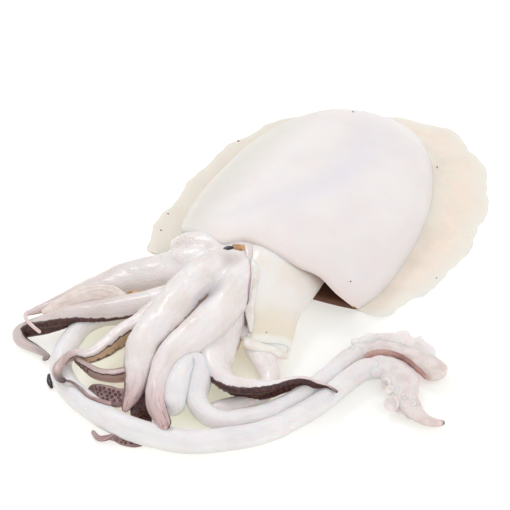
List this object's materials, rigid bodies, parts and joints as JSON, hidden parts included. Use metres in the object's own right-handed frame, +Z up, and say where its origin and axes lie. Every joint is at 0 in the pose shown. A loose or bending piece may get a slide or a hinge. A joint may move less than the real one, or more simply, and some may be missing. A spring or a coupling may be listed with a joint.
{
  "type": "whole raw cuttlefish",
  "caption": "Whole raw cuttlefish, pale and wet, lying belly up, with its fin skirt, funnel, bunched arms with dark red-brown sucker sides, and long feeding tentacles.",
  "frame": {"origin": "in the flat underside of the mantle, near its middle, on the surface that the animal lies on", "axes": "+Y along the body from the arms to the tail, +X to the flank that the funnel leans towards, +Z up, out of the belly"},
  "size_m": [0.2269, 0.3269, 0.0338],
  "materials": {
    "flesh": "wet, soft and slightly translucent",
    "fin": "wet, thin and translucent, cream",
    "arm_skin": "wet, pale with mauve tips and dark red-brown sucker sides"
  },
  "bodies": {
    "root": {"cuttlefish": "flesh"}
  },
  "joints": []
}
